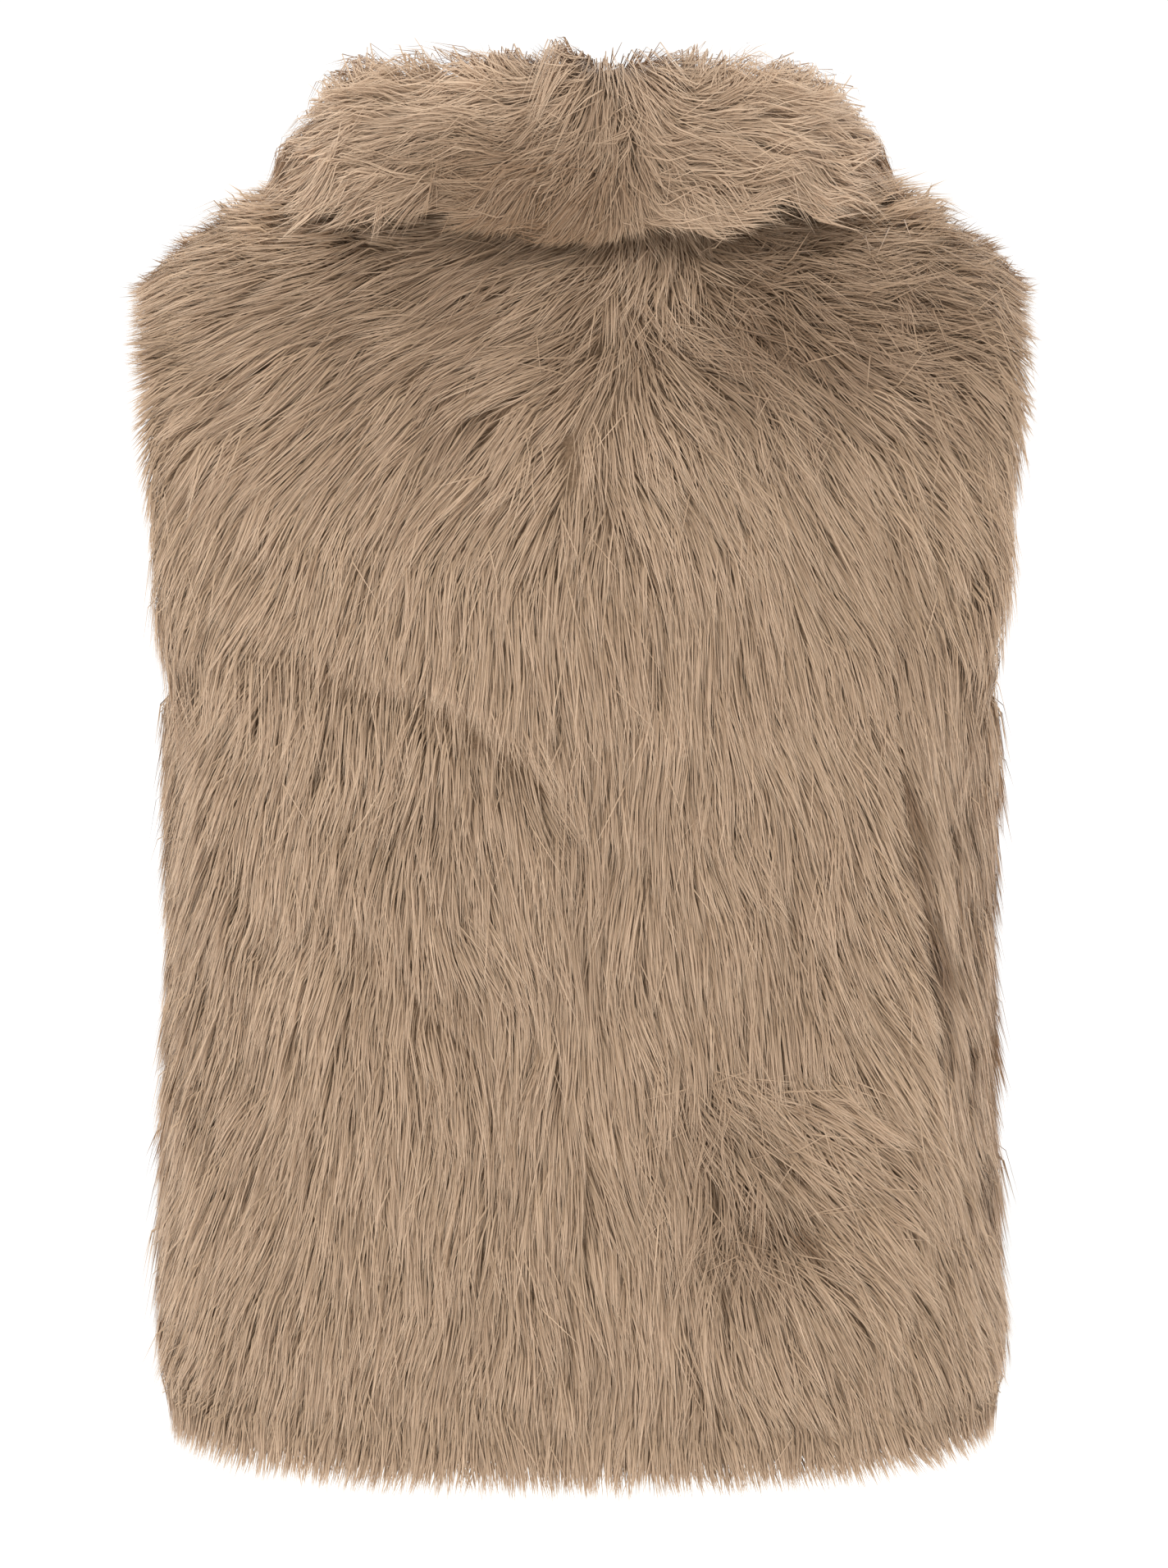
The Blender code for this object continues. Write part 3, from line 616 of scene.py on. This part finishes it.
def from_line(line, places):
    """Distance of each place to a line through points."""
    line = np.array(line)
    away = np.full(len(places), np.inf)
    for start, end in zip(line[:-1], line[1:]):
        run = end - start
        along = np.clip((places - start) @ run / (run @ run), 0, 1)
        away = np.minimum(away, np.linalg.norm(places - start - along[:, None] * run, axis=1))
    return away


def swung(swings, place):
    return sum(
        swing.size * np.sin(place[:, 0] * swing.along_x + place[:, 2] * swing.along_z + place[:, 1] * swing.along_y)
        for swing in swings
    )


def body_comb(strokes, grooves, mirror):
    """A function that gives the direction, lift and tone of the fur at places on a body panel."""
    table = np.array(strokes) * (mirror, 1, mirror, 1, 1, 1, 1)
    reach = table[:, 6]

    def comb(place, normal, tangents, at, turn):
        away = (place[:, None, 0] - table[None, :, 0]) ** 2 + (place[:, None, 2] - table[None, :, 1]) ** 2
        weight = np.exp(-away / (2 * reach**2)) * (STROKE_REACH / reach) ** SMALL_STROKE_WEIGHT
        weight += 1e-9 / (away + 1e-4)
        weight /= weight.sum(axis=1, keepdims=True)
        lean = np.radians(table[:, 2])
        lean = np.arctan2(weight @ np.sin(lean), weight @ np.cos(lean))
        lift, muss, tone = (weight @ table[:, 3:6]).T
        for groove in grooves:
            depth = np.exp(-((from_line(groove.line, place[:, [0, 2]]) / groove.width) ** 2))
            lift, tone = lift + groove.lift * depth, tone + groove.tone * depth
        lean = lean + swung(BODY_SWINGS, place) + turn * np.radians(muss)
        down = unit(np.array((0, 0, -1.0)) + normal * normal[:, 2:])
        side = np.cross(normal, down)
        return down * np.cos(lean)[:, None] + side * np.sin(lean)[:, None], lift, tone

    return comb


def collar_comb(strokes, skin):
    """The same for a collar half, whose fur runs out from the centre back and round to the front."""
    rows, columns = skin.points.shape[:2]
    table = np.array(strokes)

    def comb(place, normal, tangents, at, turn):
        angle = np.clip(at[0] / (columns - 1), 0, 1) * 180
        along = np.clip(at[1] / (rows - 1), 0, 1)
        at_roll, at_edge, lift, muss, tone, tone_at_edge = (
            np.interp(angle, table[:, 0], table[:, i]) for i in range(1, 7)
        )
        down_fall = smooth_step((along - FALL_FROM) / FALL_OVER)
        in_neck = smooth_step((NECK_TO - along) / NECK_OVER)
        in_neck *= smooth_step(np.minimum(angle, 180 - angle) / NECK_SIDE_ANGLE)
        lean = at_roll * (1 - down_fall) + at_edge * down_fall + swung(COLLAR_SWINGS, place)
        lean = np.radians(lean * (1 - in_neck) + NECK_LEAN * in_neck + turn * muss)
        direction = unit(tangents[1]) * np.cos(lean)[:, None] + unit(tangents[0]) * np.sin(lean)[:, None]
        # crest: where the hair is drawn paler, painted light at the top of the roll
        crest = np.exp(-(((along - CREST_AT) / CREST_WIDTH) ** 2))
        # edge: where the edge's tone takes over, near the centre back partly painted shade
        edge = smooth_step((along - EDGE_FROM) / EDGE_OVER)
        lift = lift * (1 - in_neck) * (1 - FALL_CALM * down_fall) + CREST_LIFT * crest
        tone = tone * (1 - edge) + tone_at_edge * edge + CREST_PAINTED_LIGHT * crest
        return unit(direction), lift, tone

    return comb


def grow(skin, comb, strand, u, v, turn, curl, length, height):
    """Hairs from the cloth up and along the combed direction: points, normals, tone and the tips' places."""
    place, normal, along_u, along_v, _ = skin_at(skin, u, v)
    points, normals = [place + normal * CLOTH * 0.5], [normal]
    for step, (share, rise) in enumerate(zip(strand.segments, strand.rise)):
        direction, lift, tone = comb(place, normal, (along_u, along_v), (u, v), turn + curl * step)
        run = direction * (length * share * (1 - LIFT_SHORTENS * np.clip(lift, 0, 1)))[:, None]
        uu, uv, vv = ((a * b).sum(axis=1) for a, b in ((along_u, along_u), (along_u, along_v), (along_v, along_v)))
        run_u, run_v = (run * along_u).sum(axis=1), (run * along_v).sum(axis=1)
        spread = np.maximum(uu * vv - uv * uv, 1e-14)
        u = u + (run_u * vv - run_v * uv) / spread
        v = v + (run_v * uu - run_u * uv) / spread
        place, normal, along_u, along_v, height_share = skin_at(skin, u, v)
        past = np.maximum(v - (skin.points.shape[0] - 1), 0) * np.linalg.norm(along_v, axis=1)
        place = place - np.array((0, 0, strand.droop)) * past[:, None]
        stand = height * height_share * (1 + LIFT_RAISES * lift)
        points.append(place + normal * (CLOTH + stand * rise)[:, None])
        normals.append(normal)
    return np.stack(points, axis=1), np.stack(normals, axis=1), tone, (u, v)


def cut_share(skin, reach, root, tip, spare):
    """Share of each hair's length that is left when its tip is cut at the reach past the cloth's edges."""
    rows, columns = skin.points.shape[:2]
    _, _, along_u, along_v, _ = skin_at(skin, *root)
    left = np.ones(spare.size)
    sides, last_row = (reach.first_column, reach.last_column), reach.last_row
    if reach.side_seam is not None:
        lower = root[1] < (rows - 1) / 2
        sides = [np.where(lower, reach.side_seam, side) for side in sides]
    if reach.last_row_at_first is not None:
        away = smooth_step(root[0] / (columns - 1) / BLEND_FROM_FIRST)
        last_row = reach.last_row_at_first * (1 - away) + reach.last_row * away
    for at, to, scale, first, last, size in (
        (root[0], tip[0], along_u, sides[0], sides[1], columns - 1),
        (root[1], tip[1], along_v, reach.first_row, last_row, rows - 1),
    ):
        scale = np.linalg.norm(scale, axis=1)
        run = np.maximum(np.abs(to - at) * scale, 1e-6)
        for past, allowed in ((-to * scale, first), ((to - size) * scale, last)):
            left = np.minimum(left, np.where(past > allowed * spare, (run - past + allowed * spare) / run, 1.0))
    return np.clip(left, SHORTEST_CUT, 1.0)


def parted_share(parting, roots, tips, chance):
    """Share of each hair's length that is left where it would cross a parting from above."""
    run, side = (2, 0) if parting.upright else (0, 2)
    line = np.array(sorted(parting.line, key=lambda place: place[run // 2]))
    across, up = line[:, run // 2], line[:, side // 2]
    above_root, above_tip = (p[:, side] - np.interp(p[:, run], across, up) for p in (roots, tips))
    crosses = (above_root > 0) & (above_tip < 0) & (roots[:, 1] > 0)
    along = (roots[:, run] - across[0]) / (across[-1] - across[0])
    depth = parting.depth * np.sin(math.pi * np.clip(along, 0, 1)) ** 0.5
    left = above_root / np.maximum(above_root - above_tip, 1e-6) * (1 + 0.35 * chance[1])
    return np.where(crosses & (chance[0] < depth), np.clip(left, 0.25, 1), 1.0)


def patches(roots):
    """Cloudy changes of tone, deeper in the yoke and the collar."""
    x, z = roots[:, 0], roots[:, 2]
    depth = 0.05 + 0.09 * smooth_step((z + 0.12) / 0.06)
    return depth * np.sin(x * 97 + 2 * np.sin(z * 41)) * np.sin(z * 71 + x * 29)


def fur_hairs(skin, comb, strand, reach, count, columns_from, columns_to, keep, partings=()):
    """Points, width directions, widths and tones of all hairs of one object, drawn together into locks."""
    tuft_places = skin_at(skin, *scatter(skin, count // TUFT_HAIRS, columns_from, columns_to, keep))[0]
    lock_u, lock_v = scatter(skin, count // strand.lock_hairs, columns_from, columns_to, keep)
    size = lock_u.size
    tuft = nearest(tuft_places, skin_at(skin, lock_u, lock_v)[0])
    turn, rise, tone = RNG.normal(0, (TUFT_TURN, TUFT_HEIGHT, TUFT_TONE), (len(tuft_places), 3)).T
    lock_turn, lock_curl = turn[tuft] + RNG.normal(0, LOCK_TURN, size), RNG.normal(0, LOCK_CURL, size)
    lock_length = strand.length * RNG.normal(1.0, LOCK_LENGTH, size)
    lock_height = np.clip(MIDDLE_HEIGHT + rise[tuft] + RNG.normal(0, LOCK_HEIGHT, size), 0.5, 1.1)
    lock_height = (PILE - CLOTH) * lock_height
    lock_tone = tone[tuft] + RNG.normal(0, LOCK_TONE, size)
    lock_pull = RNG.uniform(*strand.lock_pull, size)
    lock_root = (lock_u, lock_v)
    lock_tip = grow(skin, comb, strand, lock_u, lock_v, lock_turn, lock_curl, lock_length, lock_height)[3]
    lock_length = lock_length * cut_share(skin, reach, lock_root, lock_tip, RNG.uniform(0.5, 1.1, size))
    guides = grow(skin, comb, strand, lock_u, lock_v, lock_turn, lock_curl, lock_length, lock_height)[0]

    u, v = scatter(skin, count, columns_from, columns_to, keep)
    size = u.size
    roots = skin_at(skin, u, v)[0]
    lock = nearest(guides[:, 0], roots)
    under = RNG.random(size) < UNDER_SHARE
    stray = RNG.random(size) < STRAY_SHARE
    turn = lock_turn[lock] + RNG.normal(0, HAIR_TURN, size) + stray * RNG.normal(0, STRAY_TURN, size)
    length = strand.length * RNG.normal(1.0, HAIR_LENGTH, size) * np.where(under, UNDER_LENGTH, 1.0)
    height = lock_height[lock] * RNG.uniform(0.72, 1.05, size) * np.where(under, UNDER_HEIGHT, 1.0)
    height *= np.where(stray, STRAY_HEIGHT, 1.0)
    tip = grow(skin, comb, strand, u, v, turn, lock_curl[lock], length, height)[3]
    length = length * cut_share(skin, reach, (u, v), tip, RNG.uniform(0.35, 1.15, size))
    for parting in partings:
        length = length * parted_share(parting, roots, skin_at(skin, *tip)[0], RNG.random((2, size)))
    points, normals, tone, _ = grow(skin, comb, strand, u, v, turn, lock_curl[lock], length, height)
    short = np.clip(length / strand.length, 0.2, 1)
    pull = lock_pull[lock] * np.where(stray, STRAY_PULL, 1.0) * short
    run = unit(guides[lock, -1] - guides[lock, 0])
    for step, share in enumerate(strand.drawn):
        towards = guides[lock, step] - points[:, step]
        lift = (towards * normals[:, step]).sum(axis=1, keepdims=True) * normals[:, step]
        ahead = (towards * run).sum(axis=1, keepdims=True) * run
        points[:, step] += (towards - 0.7 * lift - 0.8 * ahead) * (pull * share)[:, None]
    tone = MIDDLE_TONE + tone + patches(roots) + lock_tone[lock]
    tone = tone + RNG.normal(0, HAIR_TONE, size) + UNDER_TONE * under
    roll = RNG.normal(0, HAIR_ROLL, size).clip(-0.9, 0.9)
    run = unit(np.gradient(points, axis=1))
    flat = unit(np.cross(normals, run))
    over = unit(np.cross(run, flat))
    wide = flat * np.cos(roll)[:, None, None] + over * np.sin(roll)[:, None, None]
    width = HAIR_WIDTH * RNG.uniform(0.75, 1.25, size)
    return points, wide, width, (LOWEST_TONE_PLACE + (1 - LOWEST_TONE_PLACE) * tone).clip(0.01, 0.99)


def fur_mesh(name, hairs, strand, material):
    """One mesh of hairs, each a flat blade with a long tip. Its map has a hair's tone across, its length up."""
    points, wide, width, tone = hairs
    count, steps = len(points), len(strand.segments)
    rims = []
    for step, share in enumerate(strand.widths):
        half = wide[:, step] * (width * share / 2)[:, None]
        rims += [points[:, step] - half, points[:, step] + half]
    verts = np.stack([*rims, points[:, steps]], axis=1).astype(np.float32)
    ends = np.concatenate([[0], np.cumsum(strand.segments)])
    along = strand.root_along + (1 - strand.root_along) * ends
    along = np.append(np.repeat(along[:-1], 2), along[-1])
    across = np.append(np.tile((-TONE_STRIP, TONE_STRIP), steps), 0.0)
    uvs = np.stack([tone[:, None] + across, np.tile(along, (count, 1))], axis=-1).astype(np.float32)
    blade = [2 * step + corner for step in range(steps - 1) for corner in (0, 2, 3, 1)]
    blade = np.array(blade + [2 * steps - 2, 2 * steps, 2 * steps - 1])
    loops = (blade[None] + np.arange(count)[:, None] * (2 * steps + 1)).ravel().astype(np.int32)
    mesh = bpy.data.meshes.new(name)
    mesh.vertices.add(count * (2 * steps + 1))
    mesh.vertices.foreach_set("co", verts.ravel())
    mesh.loops.add(loops.size)
    mesh.loops.foreach_set("vertex_index", loops)
    mesh.polygons.add(count * steps)
    starts = np.arange(count)[:, None] * blade.size + np.arange(steps) * 4
    mesh.polygons.foreach_set("loop_start", starts.ravel().astype(np.int32))
    mesh.update(calc_edges=True)
    layer = mesh.uv_layers.new(name="OFBake")
    layer.uv.foreach_set("vector", uvs.reshape(-1, 2)[loops].ravel())
    mesh.shade_smooth()
    mesh.materials.append(material)
    piece = bpy.data.objects.new(name, mesh)
    bpy.context.scene.collection.objects.link(piece)
    return piece


def cloth_shell(name, skin, every, materials):
    """A closed cloth on a skin: lining inside, backing with its short wool outside."""
    inner, outward = skin.points[::every, ::every], skin.normals[::every, ::every]
    wall = CLOTH + (PILE - CLOTH) * UNDERFUR * skin.height_share[::every, ::every, None]
    rows, columns = inner.shape[:2]
    verts = np.concatenate([inner.reshape(-1, 3), (inner + outward * wall).reshape(-1, 3)])
    grid = np.arange(rows * columns).reshape(rows, columns)
    quads = np.stack([grid[:-1, :-1], grid[:-1, 1:], grid[1:, 1:], grid[1:, :-1]], axis=-1).reshape(-1, 4)
    rim = np.concatenate([grid[0, :], grid[1:, -1], grid[-1, -2::-1], grid[-2:0:-1, 0]])
    following = np.roll(rim, -1)
    far = rows * columns
    edges = np.stack([rim, following, following + far, rim + far], axis=1)
    faces = np.concatenate([quads[:, ::-1], quads + far, edges])
    first, second = verts[quads[:, 1]] - verts[quads[:, 0]], verts[quads[:, 3]] - verts[quads[:, 0]]
    if (np.cross(first, second) * outward[:-1, :-1].reshape(-1, 3)).sum() < 0:
        faces = faces[:, ::-1]
    mesh = bpy.data.meshes.new(name)
    mesh.from_pydata(verts.tolist(), [], faces.tolist())
    for material in materials:
        mesh.materials.append(material)
    mesh.polygons.foreach_set("material_index", [0] * len(quads) + [1] * (len(quads) + len(edges)))
    mesh.shade_smooth()
    piece = bpy.data.objects.new(name, mesh)
    bpy.context.scene.collection.objects.link(piece)
    area = np.linalg.norm(np.cross(first, second), axis=1).sum()
    return piece, float(area)


# Materials, with the real size of each pattern in metres
TWILL_RIB = 0.0016
WOOL_CLUMP = 1 / 420  # about 2.4 mm


def from_hex(text):
    """An sRGB hex colour as linear values."""
    parts = [int(text[i : i + 2], 16) / 255 for i in (1, 3, 5)]
    return (*(c / 12.92 if c <= 0.04045 else ((c + 0.055) / 1.055) ** 2.4 for c in parts), 1.0)


def add_node(tree, kind, inputs=None, stops=None, **settings):
    """Adds a node, sets its settings and ramp stops, and fills or links its inputs."""
    node = tree.nodes.new(kind)
    for name, value in settings.items():
        setattr(node, name, value)
    if stops:
        while len(node.color_ramp.elements) < len(stops):
            node.color_ramp.elements.new(0.5)
        for element, (place, colour) in zip(node.color_ramp.elements, stops):
            element.position = place
            element.color = from_hex(colour)
    for socket, value in (inputs or {}).items():
        if isinstance(value, bpy.types.NodeSocket):
            tree.links.new(value, node.inputs[socket])
        else:
            node.inputs[socket].default_value = value
    return node


def new_material(name):
    material = bpy.data.materials.new(name)
    material.use_nodes = True
    return material, material.node_tree, material.node_tree.nodes["Principled BSDF"]


def combed_acrylic_fur():
    """Long acrylic pile, drawn and combed: darker at the root, partly as painted shade deep in the pile, pale at the
    tip, each hair of its own tone.
    """
    material, tree, shader = new_material("acrylic_fur_combed")
    hair = add_node(tree, "ShaderNodeUVMap", uv_map="OFBake")
    parts = add_node(tree, "ShaderNodeSeparateXYZ", {"Vector": hair.outputs["UV"]})
    # Along each hair (Y) both ramps darken towards the root, partly painted shade deep in the pile; across (X) the
    # hair's tone mixes them.
    dark = add_node(
        tree,
        "ShaderNodeValToRGB",
        {"Fac": parts.outputs["Y"]},
        stops=((0.0, "#584530"), (0.35, "#694F37"), (0.75, "#7D5F44"), (1.0, "#967656")),
    )
    pale = add_node(
        tree,
        "ShaderNodeValToRGB",
        {"Fac": parts.outputs["Y"]},
        stops=((0.0, "#8B7056"), (0.35, "#C1A486"), (0.75, "#DDC0A3"), (1.0, "#EBD2B7")),
    )
    colour = add_node(
        tree,
        "ShaderNodeMix",
        {"Factor": parts.outputs["X"], "A": dark.outputs["Color"], "B": pale.outputs["Color"]},
        data_type="RGBA",
    )
    tree.links.new(colour.outputs["Result"], shader.inputs["Base Color"])
    shader.inputs["Roughness"].default_value = 0.55
    shader.inputs["Specular IOR Level"].default_value = 0.3
    shader.inputs["Sheen Weight"].default_value = 0.15
    shader.inputs["Sheen Roughness"].default_value = 0.4
    return material


def knitted_backing():
    """Knitted backing with short woolly under-fur: a felted ground seen only between the locks, drawn dark partly as
    painted shade deep in the pile.
    """
    material, tree, shader = new_material("knitted_backing_underfur")
    place = add_node(tree, "ShaderNodeTexCoord")
    wool = add_node(
        tree,
        "ShaderNodeTexNoise",
        {"Vector": place.outputs["Object"], "Scale": 1 / WOOL_CLUMP, "Detail": 4.0, "Roughness": 0.7},
    )
    # The ground's browns sit below the hair's tips, partly painted shade deep in the pile.
    colour = add_node(
        tree, "ShaderNodeValToRGB", {"Fac": wool.outputs["Fac"]}, stops=((0.3, "#77604A"), (0.7, "#A3886E"))
    )
    bump = add_node(tree, "ShaderNodeBump", {"Height": wool.outputs["Fac"], "Strength": 0.6, "Distance": 0.0015})
    tree.links.new(colour.outputs["Color"], shader.inputs["Base Color"])
    tree.links.new(bump.outputs["Normal"], shader.inputs["Normal"])
    shader.inputs["Roughness"].default_value = 0.95
    shader.inputs["Specular IOR Level"].default_value = 0.15
    return material


def twill_lining():
    """Woven polyester twill: smooth, softly shining, with fine slanting ribs, drawn 1.6 mm apart to show."""
    material, tree, shader = new_material("polyester_twill_lining")
    place = add_node(tree, "ShaderNodeTexCoord")
    turned = add_node(
        tree, "ShaderNodeMapping", {"Vector": place.outputs["Object"], "Rotation": (0.0, math.radians(55), 0.0)}
    )
    ribs = add_node(
        tree,
        "ShaderNodeTexWave",
        {"Vector": turned.outputs["Vector"], "Scale": 1 / TWILL_RIB / math.tau, "Distortion": 0.4, "Detail": 1.0},
        wave_type="BANDS",
        bands_direction="X",
    )
    cloud = add_node(tree, "ShaderNodeTexNoise", {"Vector": place.outputs["Object"], "Scale": 30.0, "Detail": 3.0})
    mixed = add_node(
        tree,
        "ShaderNodeMix",
        {"Factor": 0.35, "A": ribs.outputs["Fac"], "B": cloud.outputs["Fac"]},
        data_type="FLOAT",
    )
    colour = add_node(
        tree, "ShaderNodeValToRGB", {"Fac": mixed.outputs["Result"]}, stops=((0.2, "#5F4A3A"), (0.8, "#806653"))
    )
    bump = add_node(tree, "ShaderNodeBump", {"Height": ribs.outputs["Fac"], "Strength": 0.25, "Distance": 0.0004})
    tree.links.new(colour.outputs["Color"], shader.inputs["Base Color"])
    tree.links.new(bump.outputs["Normal"], shader.inputs["Normal"])
    shader.inputs["Roughness"].default_value = 0.42
    shader.inputs["Specular IOR Level"].default_value = 0.45
    return material


def white_studio_paper():
    """Matt white paper sweep."""
    material, tree, shader = new_material("white_studio_paper")
    place = add_node(tree, "ShaderNodeTexCoord")
    grain = add_node(tree, "ShaderNodeTexNoise", {"Vector": place.outputs["Object"], "Scale": 3.0, "Detail": 2.0})
    colour = add_node(
        tree, "ShaderNodeValToRGB", {"Fac": grain.outputs["Fac"]}, stops=((0.0, "#F6F6F5"), (1.0, "#FCFCFB"))
    )
    tree.links.new(colour.outputs["Color"], shader.inputs["Base Color"])
    shader.inputs["Roughness"].default_value = 0.9
    return material


# The vest

def dress(name, skin, every, comb, strand, reach, furs, materials):
    """One sewn piece: its cloth shell and its fur, standing for the solid of its name."""
    fur, backing, lining = materials
    shell, area = cloth_shell(f"{name}_cloth", skin, every, (lining, backing))
    pieces = [
        fur_mesh(title, fur_hairs(skin, comb, strand, reach, *how), strand, fur) for title, how in furs.items()
    ]
    for piece in (shell, *pieces):
        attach(piece, "root")
        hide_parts(name)


def make_back(materials):
    shares = np.linspace(-1, 1, 2 * HALF_PANEL_CELLS + 1)
    back = panel_skin("back", shares, PANEL_ROWS + 1)
    keep = (back.height_share > THIN_BODY_FUR).astype(float)
    furs = {
        "back_fur_right": (HAIRS["back"], 0, HALF_PANEL_CELLS, keep, PARTINGS),
        "back_fur_left": (HAIRS["back"], HALF_PANEL_CELLS, 2 * HALF_PANEL_CELLS, keep, PARTINGS),
    }
    comb = body_comb(BACK_STROKES, GROOVES, 1)
    dress("back", back, BODY_SHELL_EVERY, comb, BODY_STRAND, BACK_REACH, furs, materials)


def make_front(side, sign, materials):
    shares = np.linspace(0, 1, HALF_PANEL_CELLS + 1) if sign > 0 else np.linspace(-1, 0, HALF_PANEL_CELLS + 1)
    front = panel_skin("front", shares, PANEL_ROWS + 1)
    keep = (front.height_share > THIN_BODY_FUR).astype(float)
    furs = {f"front_fur_{side}": (HAIRS["front"], 0, HALF_PANEL_CELLS, keep)}
    comb = body_comb(FRONT_STROKES, (), sign)
    reach = LEFT_FRONT_REACH if sign > 0 else RIGHT_FRONT_REACH
    dress(f"front_{side}", front, BODY_SHELL_EVERY, comb, BODY_STRAND, reach, furs, materials)


def make_collar(side, sign, materials):
    collar = collar_skin(sign, COLLAR_CELLS + 1, COLLAR_STEPS)
    keep = (collar.height_share > THIN_COLLAR_FUR).astype(float)
    from_back = np.arange(COLLAR_CELLS + 1)
    more, fade = MORE_AT_CENTRE_BACK
    density = 1 + more * np.exp(-((from_back / fade) ** 2))
    more, fade = MORE_AT_FRONT
    density += more * np.exp(-(((COLLAR_CELLS - from_back) / fade) ** 2))
    furs = {f"collar_fur_{side}": (HAIRS["collar"], 0, COLLAR_CELLS, keep * density)}
    comb = collar_comb(COLLAR_STROKES[side], collar)
    name = f"collar_{side}"
    dress(name, collar, COLLAR_SHELL_EVERY, comb, COLLAR_STRAND, COLLAR_REACH, furs, materials)


def make_vest():
    materials = (combed_acrylic_fur(), knitted_backing(), twill_lining())
    make_back(materials)
    for side, sign in (("left", 1), ("right", -1)):
        make_front(side, sign, materials)
        make_collar(side, sign, materials)


# Studio

VIEW_DISTANCE = 2.2
VIEW_ACROSS = -0.0008
VIEW_HEIGHT = -0.2696
FRAME_HEIGHT = 0.7648  # what the picture spans at the shoulders' distance
FLOOR_HEIGHT = -1.05
FLOOR_RADIUS = 7.0
ROOM_LIGHT = 1.08
LAMP_SIZE = 1.4
Lamp = namedtuple("Lamp", "name place power")
LAMPS = (
    Lamp("key", (0.9, 2.2, 1.3), 20),
    Lamp("far_side", (-0.9, -2.2, 1.3), 20),
    Lamp("left", (2.4, 0.0, 0.1), 10.5),
    Lamp("right", (-2.4, 0.0, 0.1), 10.5),
)


def add_light(name, place, power):
    """A soft square lamp that looks at the middle of the vest."""
    data = bpy.data.lights.new(name, "AREA")
    data.size = LAMP_SIZE
    data.energy = power
    lamp = bpy.data.objects.new(name, data)
    lamp.location = place
    aim = np.array((0, 0, VIEW_HEIGHT)) - np.array(place)
    flat = math.hypot(aim[0], aim[1])
    lamp.rotation_euler = (math.pi / 2 + math.atan2(aim[2], flat), 0, math.atan2(-aim[0], aim[1]))
    bpy.context.scene.collection.objects.link(lamp)


def make_studio():
    scene = bpy.context.scene
    scene.view_settings.view_transform = "Standard"
    camera = bpy.data.objects.new("camera", bpy.data.cameras.new("camera"))
    camera.data.sensor_fit = "VERTICAL"
    camera.data.angle_y = 2 * math.atan(FRAME_HEIGHT / 2 / VIEW_DISTANCE)
    camera.location = (VIEW_ACROSS, VIEW_DISTANCE, VIEW_HEIGHT)
    camera.rotation_euler = (math.pi / 2, 0, math.pi)
    scene.collection.objects.link(camera)
    scene.camera = camera

    bpy.ops.object.select_all(action="DESELECT")
    bpy.ops.mesh.primitive_circle_add(
        vertices=96, radius=FLOOR_RADIUS, fill_type="NGON", location=(0, 0, FLOOR_HEIGHT)
    )
    floor = bpy.context.object
    floor.name = "studio_floor"
    bpy.ops.object.transform_apply(location=True, rotation=True, scale=True)
    floor.data.materials.append(white_studio_paper())

    world = bpy.data.worlds.new("white_room")
    world.use_nodes = True
    background = world.node_tree.nodes["Background"]
    background.inputs["Color"].default_value = (1, 1, 1, 1)
    background.inputs["Strength"].default_value = ROOM_LIGHT
    scene.world = world
    for lamp in LAMPS:
        add_light(*lamp)


def main():
    make_studio()
    make_vest()


main()
